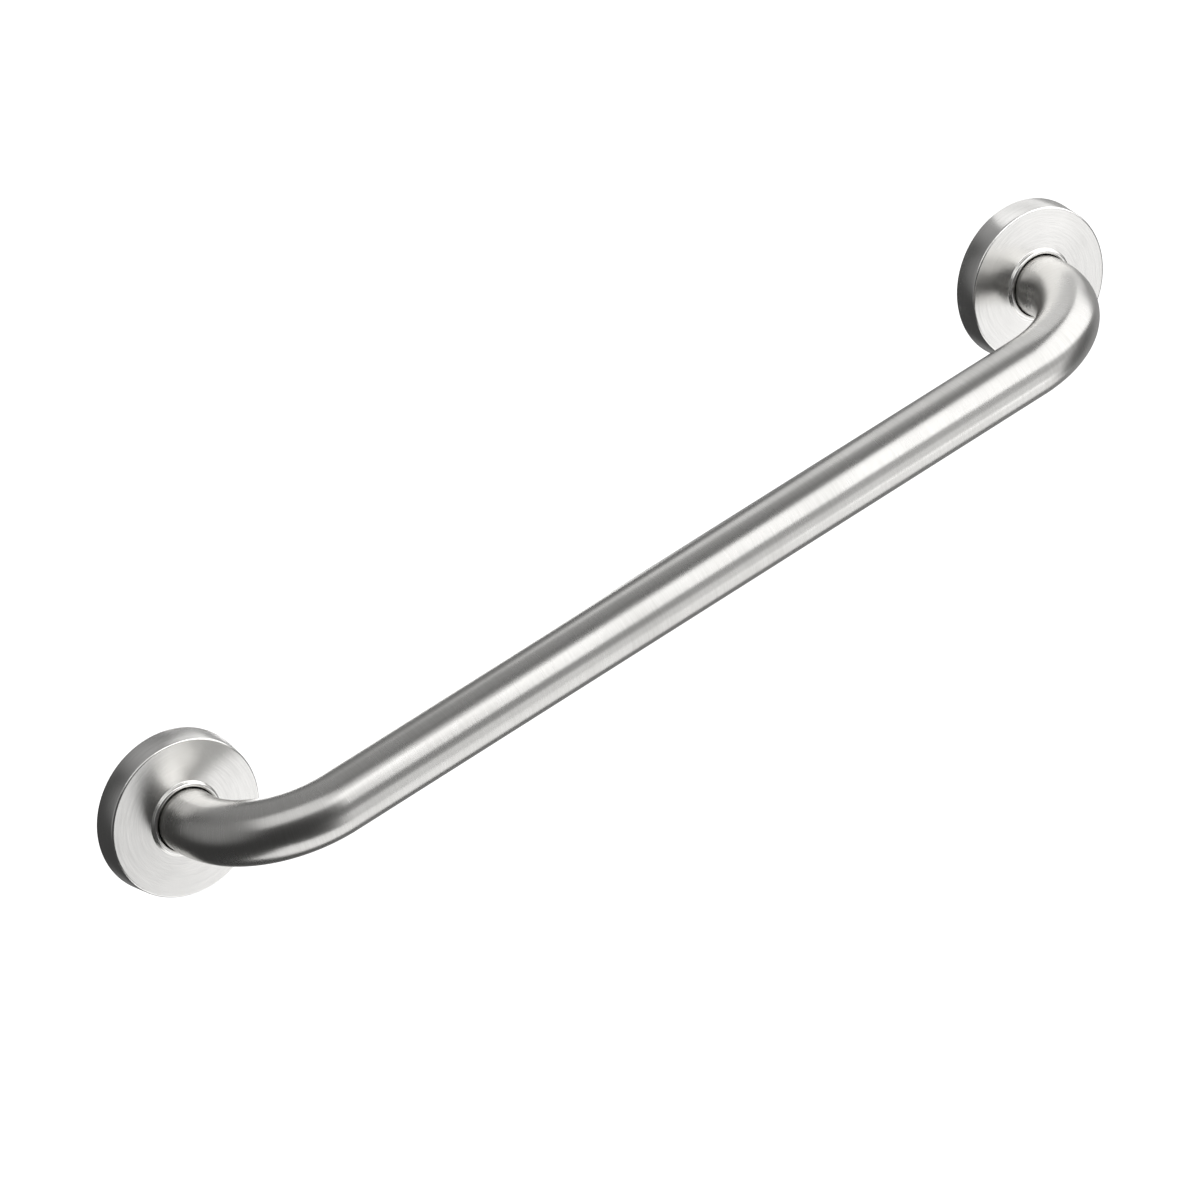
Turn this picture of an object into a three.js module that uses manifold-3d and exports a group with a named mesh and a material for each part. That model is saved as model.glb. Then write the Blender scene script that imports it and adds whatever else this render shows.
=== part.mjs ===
// Wall-mounted grab rail: one bent stainless tube between two screwed flanges, each hidden by a push-on cover.
// Millimetres. X runs along the rail, Z is up, and the wall is the plane y = 0 with the rail in front of it at -Y.
// The origin is on the wall, midway between the two flanges.
import * as THREE from "three";
import { mergeVertices } from "three/addons/utils/BufferGeometryUtils.js";
import Module from "manifold-3d";

const wasm = await Module();
wasm.setup();

// Driving dimensions
const GAP = 0.3; // between pieces that touch on the real rail
const CENTRES = 500; // from one flange centre to the other
const TUBE = { radius: 15, wall: 1.2, axisHeight: 69, bendRadius: 50, sides: 32, bendSteps: 10 };
const GASKET = { radius: 36, bore: 11, thickness: 1 };
const FLANGE = { radius: 37.2, thickness: 3.6, cornerRound: 0.4 };
const HOLES = { count: 3, circleRadius: 27.5, radius: 2.9, firstAngle: 60 };
const WELD = { leg: 3, sag: 0.45 };
const RETAINING_RING = { cordRadius: 1, sides: 6 };
const COVER = {
  backRadius: 39.5,
  frontRadius: 38.25,
  height: 12.5,
  sheet: 0.9,
  edgeRound: 1.1,
  collarRadius: 17.75,
  collarHeight: 2,
  collarRootRound: 0.6,
  rim: 1.15,
};
const BUSH = { clearance: 0.5, lipRadius: 20, lipThickness: 2.4, setBack: 2.6 };
const WASHER = { radius: 5, bore: 2.6, thickness: 1 };
const SCREW = { radius: 2.4, length: 22, headRadius: 4.6, headHeight: 3, recess: 1.8, slotWidth: 1.1, slotLength: 5.2 };
const ROUND = 40; // sides of a large turned piece
const SMALL_ROUND = 16; // sides of a washer, screw or hole

// Heights above the wall, which stack up from it
const flangeBack = GASKET.thickness + GAP;
const flangeFront = flangeBack + FLANGE.thickness;
const washerBack = flangeFront + GAP;
const headBack = washerBack + WASHER.thickness + GAP;
const tubeEnd = flangeBack;
const bendStart = TUBE.axisHeight - TUBE.bendRadius;
const halfCentres = CENTRES / 2;

// Materials: each sub-part has its own, made from one of these finishes
const FINISHES = {
  satinTube: { color: 0xc4c6c7, roughness: 0.3, metalness: 1 },
  satinCover: { color: 0xd2d4d5, roughness: 0.26, metalness: 1 },
  millPlate: { color: 0xa9acad, roughness: 0.45, metalness: 1 },
  weldMetal: { color: 0x93928c, roughness: 0.5, metalness: 1 },
  screwSteel: { color: 0xbfc1c2, roughness: 0.3, metalness: 1 },
  blackRubber: { color: 0x161616, roughness: 0.75, metalness: 0 },
  greyNylon: { color: 0x3d3f40, roughness: 0.55, metalness: 0 },
  greyFoam: { color: 0x5a5c5d, roughness: 0.9, metalness: 0 },
};

function named(name, finish, geometry) {
  const mesh = new THREE.Mesh(geometry, new THREE.MeshStandardMaterial(FINISHES[finish]));
  mesh.name = name;
  return mesh;
}

// A point of a turned outline, as radius and height.
const at = (radius, height) => new THREE.Vector2(radius, height);

// Points of a round stretch of an outline, from one angle to another in degrees.
function arc(centreRadius, centreHeight, radius, from, to, steps) {
  const points = [];
  for (let i = 0; i <= steps; i++) {
    const angle = THREE.MathUtils.degToRad(from + ((to - from) * i) / steps);
    points.push(at(centreRadius + radius * Math.cos(angle), centreHeight + radius * Math.sin(angle)));
  }
  return points;
}

// Turns an outline about the leg's axis. Outlines run up the outside and down the inside.
function turned(points, sides, closed = true) {
  const outline = closed ? [...points, points[0].clone()] : points;
  return new THREE.LatheGeometry(outline, sides);
}

function solid(geometry) {
  const bare = geometry.clone();
  bare.deleteAttribute("normal");
  bare.deleteAttribute("uv");
  const merged = mergeVertices(bare, 1e-4);
  return new wasm.Manifold(
    new wasm.Mesh({
      numProp: 3,
      vertProperties: new Float32Array(merged.attributes.position.array),
      triVerts: new Uint32Array(merged.index.array),
    }),
  );
}

function cut(geometry, tools) {
  let body = solid(geometry);
  for (const tool of tools) body = body.subtract(solid(tool));
  const mesh = body.getMesh();
  const result = new THREE.BufferGeometry();
  result.setAttribute("position", new THREE.BufferAttribute(mesh.vertProperties, mesh.numProp));
  result.setIndex(new THREE.BufferAttribute(mesh.triVerts, 1));
  result.computeVertexNormals();
  return result;
}

// Calls make(x, z, number) at each screw position round a leg's axis.
function atHoles(make) {
  const results = [];
  for (let i = 0; i < HOLES.count; i++) {
    const angle = THREE.MathUtils.degToRad(HOLES.firstAngle + (360 * i) / HOLES.count);
    results.push(make(HOLES.circleRadius * Math.cos(angle), HOLES.circleRadius * Math.sin(angle), i + 1));
  }
  return results;
}

// The rail's centreline from the left end to the right: leg, bend, straight grip, bend, leg.
// Its parameter gives each bend an equal number of steps and each straight stretch one.
class RailCentreline extends THREE.Curve {
  constructor() {
    super();
    this.steps = 2 * TUBE.bendSteps + 3;
  }

  getPoint(t, target = new THREE.Vector3()) {
    const fromLeft = Math.min(t, 1 - t) * this.steps;
    const side = t <= 0.5 ? -1 : 1;
    let inward; // from the leg's axis towards the middle
    let height;
    if (fromLeft <= 1) {
      inward = 0;
      height = tubeEnd + (bendStart - tubeEnd) * fromLeft;
    } else if (fromLeft <= 1 + TUBE.bendSteps) {
      const angle = ((fromLeft - 1) / TUBE.bendSteps) * (Math.PI / 2);
      inward = TUBE.bendRadius * (1 - Math.cos(angle));
      height = bendStart + TUBE.bendRadius * Math.sin(angle);
    } else {
      const share = (fromLeft - 1 - TUBE.bendSteps) * 2;
      inward = TUBE.bendRadius + (halfCentres - TUBE.bendRadius) * share;
      height = TUBE.axisHeight;
    }
    return target.set(side * (halfCentres - inward), -height, 0);
  }

  getPointAt(u, target) {
    return this.getPoint(u, target);
  }

  getTangentAt(u, target) {
    return this.getTangent(u, target);
  }
}

// The hollow tube, open at both ends behind the flanges.
function railTube() {
  const section = new THREE.Shape();
  section.absarc(0, 0, TUBE.radius, 0, 2 * Math.PI, false);
  const bore = new THREE.Path();
  bore.absarc(0, 0, TUBE.radius - TUBE.wall, 0, 2 * Math.PI, true);
  section.holes.push(bore);
  const path = new RailCentreline();
  return new THREE.ExtrudeGeometry(section, {
    steps: path.steps,
    extrudePath: path,
    curveSegments: TUBE.sides / 2,
  });
}

// The rubber pad between the flange and the wall, with room for the tube's open end and the screws.
function gasket() {
  const pad = new THREE.Shape();
  pad.absarc(0, 0, GASKET.radius, 0, 2 * Math.PI, false);
  const bore = new THREE.Path();
  bore.absarc(0, 0, GASKET.bore, 0, 2 * Math.PI, true);
  pad.holes.push(bore);
  atHoles((x, z) => {
    const hole = new THREE.Path();
    hole.absarc(x, z, HOLES.radius, 0, 2 * Math.PI, true);
    pad.holes.push(hole);
  });
  const geometry = new THREE.ExtrudeGeometry(pad, {
    depth: GASKET.thickness,
    bevelEnabled: false,
    curveSegments: ROUND / 2,
  });
  return geometry.rotateX(-Math.PI / 2); // its thickness, drawn along Z, now runs along the turning axis
}

// The groove that seats the retaining ring in the flange's rim.
const groove = {
  height: (flangeBack + flangeFront) / 2,
  radius: RETAINING_RING.cordRadius + GAP,
};
const skirtInside = (height) =>
  COVER.backRadius - COVER.sheet - ((COVER.backRadius - COVER.frontRadius) * height) / COVER.height;
const ringRadius = skirtInside(groove.height) - GAP - RETAINING_RING.cordRadius;

// The screwed steel plate that the tube is welded into.
function wallFlange() {
  const grooveHalfAngle = THREE.MathUtils.radToDeg(Math.acos((FLANGE.radius - ringRadius) / groove.radius));
  const bore = TUBE.radius + GAP;
  const round = FLANGE.cornerRound;
  const disc = turned(
    [
      at(bore, flangeBack),
      ...arc(FLANGE.radius - round, flangeBack + round, round, -90, 0, 2),
      ...arc(ringRadius, groove.height, groove.radius, 360 - grooveHalfAngle, grooveHalfAngle, 4),
      ...arc(FLANGE.radius - round, flangeFront - round, round, 0, 90, 2),
      at(bore, flangeFront),
    ],
    ROUND,
  );
  const reach = FLANGE.thickness + 2;
  const drills = atHoles((x, z) =>
    new THREE.CylinderGeometry(HOLES.radius, HOLES.radius, reach, SMALL_ROUND).translate(x, groove.height, -z),
  );
  return cut(disc, drills);
}

// The fillet weld round the tube on the front of the flange, slightly hollow across its face.
function weldBead() {
  const inner = TUBE.radius + GAP;
  const base = flangeFront + GAP;
  return turned(
    [
      at(inner, base),
      at(inner + WELD.leg, base),
      at(inner + WELD.leg / 2 - WELD.sag / 2, base + WELD.leg / 2 - WELD.sag / 2),
      at(inner, base + WELD.leg),
    ],
    TUBE.sides,
  );
}

// The rubber cord ring in the flange's rim, which grips the cover's skirt.
function retainingRing() {
  return turned(
    arc(ringRadius, groove.height, RETAINING_RING.cordRadius, 0, 360, RETAINING_RING.sides).slice(0, -1),
    ROUND,
  );
}

// The deep-drawn cover: tapered skirt, flat face and a short collar whose edge is rolled in close to the tube.
function cover() {
  const { backRadius, frontRadius, height, sheet, edgeRound, collarRadius, collarHeight, collarRootRound, rim } = COVER;
  const inside = height - sheet;
  const mouth = collarRadius - sheet;
  return turned(
    [
      at(backRadius, GAP),
      ...arc(frontRadius - edgeRound, height - edgeRound, edgeRound, 0, 90, 4),
      ...arc(collarRadius + collarRootRound, height + collarRootRound, collarRootRound, 270, 180, 2),
      ...arc(collarRadius - rim, height + collarHeight - rim, rim, 0, 270, 9),
      at(mouth, height - 0.35),
      at(mouth + sheet, inside),
      at(frontRadius - edgeRound, inside),
      at(frontRadius - sheet, height - edgeRound),
      at(backRadius - sheet, GAP),
    ],
    ROUND,
  );
}

// The nylon bush in the collar, which centres the cover on the tube and slides along it.
function bush() {
  const inner = TUBE.radius + BUSH.clearance;
  const outer = COVER.collarRadius - COVER.sheet - GAP;
  const front = COVER.height + COVER.collarHeight - BUSH.setBack;
  const lipFront = COVER.height - COVER.sheet - GAP;
  return turned(
    [
      at(inner, lipFront - BUSH.lipThickness),
      at(BUSH.lipRadius, lipFront - BUSH.lipThickness),
      at(BUSH.lipRadius, lipFront),
      at(outer, lipFront),
      at(outer, front),
      at(inner, front),
    ],
    TUBE.sides,
  );
}

function washer() {
  const top = washerBack + WASHER.thickness;
  return turned(
    [at(WASHER.bore, washerBack), at(WASHER.radius, washerBack), at(WASHER.radius, top), at(WASHER.bore, top)],
    SMALL_ROUND,
  );
}

// A pan-head screw with a cross recess, driven so that its shank passes the flange and enters the wall.
function screw() {
  const tip = headBack - SCREW.length;
  const top = headBack + SCREW.headHeight;
  const blank = turned(
    [
      at(0, tip),
      at(SCREW.radius, tip + SCREW.radius * 2),
      at(SCREW.radius, headBack),
      at(SCREW.headRadius, headBack),
      at(SCREW.headRadius, headBack + SCREW.headHeight * 0.4),
      at(SCREW.headRadius * 0.86, headBack + SCREW.headHeight * 0.8),
      at(SCREW.headRadius * 0.5, top),
      at(0, top),
    ],
    SMALL_ROUND,
    false,
  );
  const slot = (length, width) =>
    new THREE.BoxGeometry(length, SCREW.recess * 2, width).translate(0, top, 0);
  return cut(blank, [slot(SCREW.slotLength, SCREW.slotWidth), slot(SCREW.slotWidth, SCREW.slotLength)]);
}

// Everything round one leg, built about its own turning axis and then laid towards -Y.
function legFittings(side) {
  const leg = new THREE.Group();
  leg.add(
    named(`${side}_gasket`, "greyFoam", gasket()),
    named(`${side}_wall_flange`, "millPlate", wallFlange()),
    named(`${side}_weld_bead`, "weldMetal", weldBead()),
    named(`${side}_retaining_ring`, "blackRubber", retainingRing()),
    named(`${side}_bush`, "greyNylon", bush()),
    named(`${side}_cover`, "satinCover", cover()),
  );
  atHoles((x, z, number) => {
    const fixings = [
      named(`${side}_washer_${number}`, "screwSteel", washer()),
      named(`${side}_screw_${number}`, "screwSteel", screw()),
    ];
    for (const fixing of fixings) fixing.position.set(x, 0, -z);
    leg.add(...fixings);
  });
  leg.rotation.x = Math.PI; // heights, built along +Y, now point away from the wall
  return leg;
}

const grabRail = new THREE.Group();
grabRail.name = "grab_rail";
grabRail.add(named("rail_tube", "satinTube", railTube()));
for (const [side, x] of [["left", -halfCentres], ["right", halfCentres]]) {
  const leg = legFittings(side);
  leg.position.x = x;
  grabRail.add(leg);
}

export default grabRail;
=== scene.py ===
import math
import random

import bmesh
import bpy
from mathutils import Matrix, Vector


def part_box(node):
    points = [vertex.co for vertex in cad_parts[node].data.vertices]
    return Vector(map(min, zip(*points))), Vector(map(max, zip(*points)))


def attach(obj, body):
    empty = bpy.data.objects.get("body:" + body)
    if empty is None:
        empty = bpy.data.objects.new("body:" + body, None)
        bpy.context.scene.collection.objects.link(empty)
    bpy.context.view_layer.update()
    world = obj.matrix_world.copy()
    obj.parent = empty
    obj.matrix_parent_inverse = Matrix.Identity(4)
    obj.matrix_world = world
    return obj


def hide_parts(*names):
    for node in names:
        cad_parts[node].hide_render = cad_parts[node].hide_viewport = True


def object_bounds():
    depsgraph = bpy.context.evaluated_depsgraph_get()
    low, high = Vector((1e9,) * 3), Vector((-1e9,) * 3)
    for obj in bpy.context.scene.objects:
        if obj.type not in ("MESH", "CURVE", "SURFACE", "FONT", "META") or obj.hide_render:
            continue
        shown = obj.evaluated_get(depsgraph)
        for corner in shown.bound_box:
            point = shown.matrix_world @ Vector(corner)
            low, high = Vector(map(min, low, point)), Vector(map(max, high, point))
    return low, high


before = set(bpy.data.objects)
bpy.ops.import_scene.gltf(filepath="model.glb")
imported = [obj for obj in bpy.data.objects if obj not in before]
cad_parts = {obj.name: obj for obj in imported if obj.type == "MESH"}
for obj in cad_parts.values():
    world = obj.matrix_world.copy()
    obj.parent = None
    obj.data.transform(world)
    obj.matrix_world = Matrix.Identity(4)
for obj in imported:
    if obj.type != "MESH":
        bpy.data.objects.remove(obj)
cadLow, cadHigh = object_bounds()
mm = 0.001
sides = ("left", "right")


def legX(side):
    low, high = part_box(f"{side}_cover")
    return (low.x + high.x) / 2


def outerRadius(node):
    low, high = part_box(node)
    return (high.x - low.x) / 2


def standOff(node):
    low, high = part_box(node)
    return -high.y, -low.y  # nearest and furthest distance from the wall, which is the plane y = 0


def linear(hexColour):
    channels = [int(hexColour[i:i + 2], 16) / 255 for i in (1, 3, 5)]
    return [c / 12.92 if c <= 0.04045 else ((c + 0.055) / 1.055) ** 2.4 for c in channels] + [1.0]


def addNode(tree, kind, settings=None, links=None):
    node = tree.nodes.new(kind)
    for key, value in (settings or {}).items():
        if isinstance(key, str) and hasattr(node, key):
            setattr(node, key, value)
        else:
            node.inputs[key].default_value = value
    for key, source in (links or {}).items():
        tree.links.new(source, node.inputs[key])
    return node


def arc(centreRadius, centreHeight, radius, start, end, steps):
    points = []
    for i in range(steps + 1):
        angle = math.radians(start + (end - start) * i / steps)
        points.append((centreRadius + radius * math.cos(angle), centreHeight + radius * math.sin(angle)))
    return points


def meshObject(name, verts, faces, sharpAngle=32):
    mesh = bpy.data.meshes.new(name)
    mesh.from_pydata(verts, [], faces)
    mesh.validate()
    mesh.shade_smooth()
    mesh.set_sharp_from_angle(angle=math.radians(sharpAngle))
    obj = bpy.data.objects.new(name, mesh)
    bpy.context.scene.collection.objects.link(obj)
    return obj


def turnedMesh(outline, steps):
    # a closed outline of (radius, distance from the wall), turned about the leg's axis
    count = len(outline)
    verts = []
    for i in range(steps):
        angle = 2 * math.pi * i / steps
        for radius, height in outline:
            verts.append((radius * math.cos(angle), -height, radius * math.sin(angle)))
    faces = []
    for i in range(steps):
        for j in range(count):
            a, b = i * count + j, i * count + (j + 1) % count
            c, d = ((i + 1) % steps) * count + (j + 1) % count, ((i + 1) % steps) * count + j
            faces.append((a, b, c, d))
    return verts, faces


def turned(name, outline, side, steps=128):
    verts, faces = turnedMesh(outline, steps)
    obj = meshObject(name, verts, faces)
    obj.data.transform(Matrix.Translation((legX(side), 0, 0)))
    return obj


def storeFromAxis(obj, side):
    # the material of a turned piece follows its own axis, so each point keeps its place relative to it
    axis = obj.data.attributes.new("fromAxis", "FLOAT_VECTOR", "POINT")
    x = legX(side)
    for vertex, item in zip(obj.data.vertices, axis.data):
        item.vector = (vertex.co.x - x, vertex.co.y, vertex.co.z)


def mapTurnedGrain(obj, side):
    x = legX(side)
    points = [vertex.co for vertex in obj.data.vertices]
    across = [math.hypot(p.x - x, p.z) + p.y for p in points]
    mapGrain(obj, across, [math.atan2(p.z, p.x - x) for p in points])


def mapGrain(obj, across, girth):
    # a UV map whose first direction crosses the hairlines, which is the way that they spread light
    grain = obj.data.uv_layers.new(name="grain")
    for polygon in obj.data.polygons:
        first = None
        for loop in polygon.loop_indices:
            vertex = obj.data.loops[loop].vertex_index
            turn = girth[vertex] / (2 * math.pi)
            first = turn if first is None else first
            grain.data[loop].uv = (across[vertex] / (100 * mm), turn - round(turn - first))


def settle(obj, body, slot, material, *nodes):
    # the piece is final: material, body and the CAD nodes that it stands for
    obj.data.materials.clear()
    obj.data.materials.append(material)
    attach(obj, body)
    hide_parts(*nodes)


def evaluated(obj, name):
    depsgraph = bpy.context.evaluated_depsgraph_get()
    mesh = bpy.data.meshes.new_from_object(obj.evaluated_get(depsgraph))
    mesh.name = name
    result = bpy.data.objects.new(name, mesh)
    bpy.context.scene.collection.objects.link(result)
    return result


def material(name):
    made = bpy.data.materials.new(name)
    made.use_nodes = True
    return made, made.node_tree, made.node_tree.nodes["Principled BSDF"]


def finishSatin(tree, shader, finish, hair, marks):
    # what the satin pieces share: hairlines in relief and in tint, and light that spreads across them
    bump = addNode(
        tree, "ShaderNodeBump", {"Strength": 1.0, "Distance": finish["hairDepth"]}, {"Height": hair}
    ).outputs[0]
    tree.links.new(bump, shader.inputs["Normal"])
    grey = addNode(tree, "ShaderNodeMath", {"operation": "MULTIPLY"}, {0: marks, 1: hair}).outputs[0]
    depth = addNode(
        tree, "ShaderNodeMapRange", {"From Min": 0.1, "From Max": 0.45}, {"Value": grey}
    ).outputs[0]
    tint = addNode(
        tree,
        "ShaderNodeMix",
        {"data_type": "RGBA", 6: linear(finish["colour"]), 7: linear(finish["shade"])},
        {0: depth},
    ).outputs[2]
    tree.links.new(tint, shader.inputs["Base Color"])
    shader.inputs["Metallic"].default_value = 1.0
    shader.inputs["Anisotropic"].default_value = finish["anisotropy"]
    grain = addNode(tree, "ShaderNodeTangent", {"direction_type": "UV_MAP", "uv_map": "grain"}).outputs[0]
    tree.links.new(grain, shader.inputs["Tangent"])


# stainless 304 tube, belt-ground round its girth: soft bands along it, and hairlines that run round it
# real hairlines are some 0.05 mm apart: these are as coarse as they need to be to show
tubeFinish = {
    "colour": "#D2D1CF", "shade": "#C4C3C0", "roughness": 0.275, "anisotropy": 0.32, "handMarks": 30 * mm,
    "handMarkShare": 0.02, "hairline": 0.5 * mm, "hairLength": 12 * mm, "hairDepth": 0.00018 * mm,
    "hairRoughness": 0.005,
}


def satinTube():
    made, tree, shader = material("satinTube304")
    girth = addNode(tree, "ShaderNodeAttribute", {"attribute_name": "around"}).outputs["Vector"]
    length = addNode(tree, "ShaderNodeAttribute", {"attribute_name": "along"}).outputs["Fac"]
    split = addNode(tree, "ShaderNodeSeparateXYZ", links={"Vector": girth}).outputs
    place = addNode(
        tree, "ShaderNodeCombineXYZ", links={"X": split[0], "Y": split[1], "Z": length}
    ).outputs[0]
    long, fine = 1 / tubeFinish["hairLength"], 1 / tubeFinish["hairline"]
    drawnOut = addNode(
        tree, "ShaderNodeMapping", {"Scale": (long, long, fine)}, {"Vector": place}
    ).outputs[0]
    hair = addNode(
        tree, "ShaderNodeTexNoise", {"Scale": 1.0, "Detail": 1.5, "Roughness": 0.5}, {"Vector": drawnOut}
    ).outputs[0]
    marks = addNode(
        tree,
        "ShaderNodeTexNoise",
        {"Scale": 1 / tubeFinish["handMarks"], "Detail": 4.0, "Roughness": 0.55},
        {"Vector": place},
    ).outputs[0]
    rough, share = tubeFinish["roughness"], tubeFinish["handMarkShare"]
    smudge = addNode(
        tree,
        "ShaderNodeMapRange",
        {"From Min": 0.35, "From Max": 0.7, "To Min": rough - share / 2, "To Max": rough + share},
        {"Value": marks},
    ).outputs[0]
    streak = addNode(
        tree,
        "ShaderNodeMapRange",
        {
            "From Min": 0.3,
            "From Max": 0.7,
            "To Min": -tubeFinish["hairRoughness"],
            "To Max": tubeFinish["hairRoughness"],
        },
        {"Value": hair},
    ).outputs[0]
    both = addNode(tree, "ShaderNodeMath", {"operation": "ADD"}, {0: smudge, 1: streak}).outputs[0]
    tree.links.new(both, shader.inputs["Roughness"])
    finishSatin(tree, shader, tubeFinish, hair, marks)
    return made


# stainless 304 sheet, drawn and then brushed on a lathe: bright, with hairlines in circles round its axis
coverFinish = {
    "colour": "#F7F6F4", "shade": "#E9E8E6", "roughness": 0.24, "anisotropy": 0.45, "wipeMarks": 18 * mm,
    "hairline": 0.45 * mm, "arcs": 2.5, "hairDepth": 0.00025 * mm, "hairRoughness": 0.012,
}


def satinCover():
    made, tree, shader = material("brushedCover304")
    place = addNode(tree, "ShaderNodeAttribute", {"attribute_name": "fromAxis"}).outputs["Vector"]
    part = addNode(tree, "ShaderNodeSeparateXYZ", links={"Vector": place}).outputs
    flat = addNode(tree, "ShaderNodeCombineXYZ", links={"X": part[0], "Y": part[2]}).outputs[0]
    radius = addNode(tree, "ShaderNodeVectorMath", {"operation": "LENGTH"}, {0: flat}).outputs["Value"]
    outward = addNode(tree, "ShaderNodeVectorMath", {"operation": "NORMALIZE"}, {0: flat}).outputs[0]
    unit = addNode(tree, "ShaderNodeSeparateXYZ", links={"Vector": outward}).outputs
    across = addNode(tree, "ShaderNodeMath", {"operation": "ADD"}, {0: radius, 1: part[1]}).outputs[0]
    rings = addNode(
        tree, "ShaderNodeCombineXYZ", links={"X": unit[0], "Y": unit[1], "Z": across}
    ).outputs[0]
    arcs, fine = coverFinish["arcs"], 1 / coverFinish["hairline"]
    drawnOut = addNode(
        tree, "ShaderNodeMapping", {"Scale": (arcs, arcs, fine)}, {"Vector": rings}
    ).outputs[0]
    hair = addNode(
        tree, "ShaderNodeTexNoise", {"Scale": 1.0, "Detail": 1.5, "Roughness": 0.5}, {"Vector": drawnOut}
    ).outputs[0]
    wiped = addNode(
        tree,
        "ShaderNodeTexNoise",
        {"Scale": 1 / coverFinish["wipeMarks"], "Detail": 3.0, "Roughness": 0.5},
        {"Vector": place},
    ).outputs[0]
    rough, share = coverFinish["roughness"], coverFinish["hairRoughness"]
    streak = addNode(
        tree,
        "ShaderNodeMapRange",
        {"From Min": 0.3, "From Max": 0.7, "To Min": rough - share, "To Max": rough + share},
        {"Value": hair},
    ).outputs[0]
    tree.links.new(streak, shader.inputs["Roughness"])
    finishSatin(tree, shader, coverFinish, hair, wiped)
    return made


# hot-rolled 304 plate, pickled: dull and faintly mottled, with rings of heat colour round the weld
plateFinish = {
    "colour": "#A9A7A3", "straw": "#B39A62", "brown": "#8A6248", "blue": "#5F6A80",
    "mottle": 2.5 * mm, "mottleDepth": 0.01 * mm, "tintFrom": 18.0 * mm, "tintTo": 25.0 * mm,
    "tintWander": 3 * mm, "smoothest": 0.34, "dullest": 0.52,
}


def rolledPlate():
    made, tree, shader = material("pickledPlate304")
    place = addNode(tree, "ShaderNodeAttribute", {"attribute_name": "fromAxis"}).outputs["Vector"]
    flat = addNode(
        tree, "ShaderNodeVectorMath", {"operation": "MULTIPLY", 1: (1, 0, 1)}, {0: place}
    ).outputs[0]
    radius = addNode(tree, "ShaderNodeVectorMath", {"operation": "LENGTH"}, {0: flat}).outputs["Value"]
    mottle = addNode(
        tree,
        "ShaderNodeTexNoise",
        {"Scale": 1 / plateFinish["mottle"], "Detail": 5.0, "Roughness": 0.6},
        {"Vector": place},
    ).outputs[0]
    wander = addNode(
        tree, "ShaderNodeMath", {"operation": "MULTIPLY", 1: plateFinish["tintWander"]}, {0: mottle}
    ).outputs[0]
    uneven = addNode(tree, "ShaderNodeMath", {"operation": "ADD"}, {0: radius, 1: wander}).outputs[0]
    heat = addNode(
        tree,
        "ShaderNodeMapRange",
        {"From Min": plateFinish["tintFrom"], "From Max": plateFinish["tintTo"]},
        {"Value": uneven},
    ).outputs[0]
    tints = addNode(tree, "ShaderNodeValToRGB", links={"Fac": heat})
    stops = tints.color_ramp.elements
    stops[0].position, stops[0].color = 0.0, linear(plateFinish["brown"])
    stops[1].position, stops[1].color = 1.0, linear(plateFinish["colour"])
    for position, colour in ((0.2, "blue"), (0.38, "brown"), (0.6, "straw")):
        stops.new(position).color = linear(plateFinish[colour])
    tree.links.new(tints.outputs[0], shader.inputs["Base Color"])
    rough = addNode(
        tree,
        "ShaderNodeMapRange",
        {"To Min": plateFinish["smoothest"], "To Max": plateFinish["dullest"]},
        {"Value": mottle},
    ).outputs[0]
    tree.links.new(rough, shader.inputs["Roughness"])
    bump = addNode(
        tree,
        "ShaderNodeBump",
        {"Strength": 0.6, "Distance": plateFinish["mottleDepth"]},
        {"Height": mottle},
    ).outputs[0]
    tree.links.new(bump, shader.inputs["Normal"])
    shader.inputs["Metallic"].default_value = 1.0
    return made


# stainless weld metal as it froze: bright silver crests and straw-coloured hollows
weldFinish = {
    "crest": "#C9C6BE", "hollow": "#9C8659", "smoothest": 0.19, "dullest": 0.39, "patches": 4 * mm,
    "grain": 0.4 * mm, "grainDepth": 0.01 * mm,
}


def weldSteel():
    made, tree, shader = material("weldMetal308")
    place = addNode(tree, "ShaderNodeAttribute", {"attribute_name": "fromAxis"}).outputs["Vector"]
    grain = addNode(
        tree,
        "ShaderNodeTexNoise",
        {"Scale": 1 / weldFinish["grain"], "Detail": 4.0},
        {"Vector": place},
    ).outputs[0]
    patch = addNode(
        tree, "ShaderNodeTexNoise", {"Scale": 1 / weldFinish["patches"], "Detail": 2.0}, {"Vector": place}
    ).outputs[0]
    tint = addNode(
        tree,
        "ShaderNodeMix",
        {"data_type": "RGBA", 6: linear(weldFinish["crest"]), 7: linear(weldFinish["hollow"])},
        {0: patch},
    ).outputs[2]
    tree.links.new(tint, shader.inputs["Base Color"])
    rough = addNode(
        tree,
        "ShaderNodeMapRange",
        {"To Min": weldFinish["smoothest"], "To Max": weldFinish["dullest"]},
        {"Value": grain},
    ).outputs[0]
    tree.links.new(rough, shader.inputs["Roughness"])
    bump = addNode(
        tree, "ShaderNodeBump", {"Strength": 0.5, "Distance": weldFinish["grainDepth"]}, {"Height": grain}
    ).outputs[0]
    tree.links.new(bump, shader.inputs["Normal"])
    shader.inputs["Metallic"].default_value = 1.0
    return made


# small stainless parts: cold-headed A2 screws are bright, stamped and tumbled A4 washers are duller
smallParts = {
    "coldHeadedScrewA2": {
        "colour": "#C4C3C0", "shade": "#AEACA8", "roughness": 0.24, "spread": 0.1, "marks": 0.5 * mm,
        "depth": 0.004 * mm,
    },
    "tumbledWasherA4": {
        "colour": "#BCBBB8", "shade": "#A3A29F", "roughness": 0.36, "spread": 0.12, "marks": 0.9 * mm,
        "depth": 0.008 * mm,
    },
}


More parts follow.
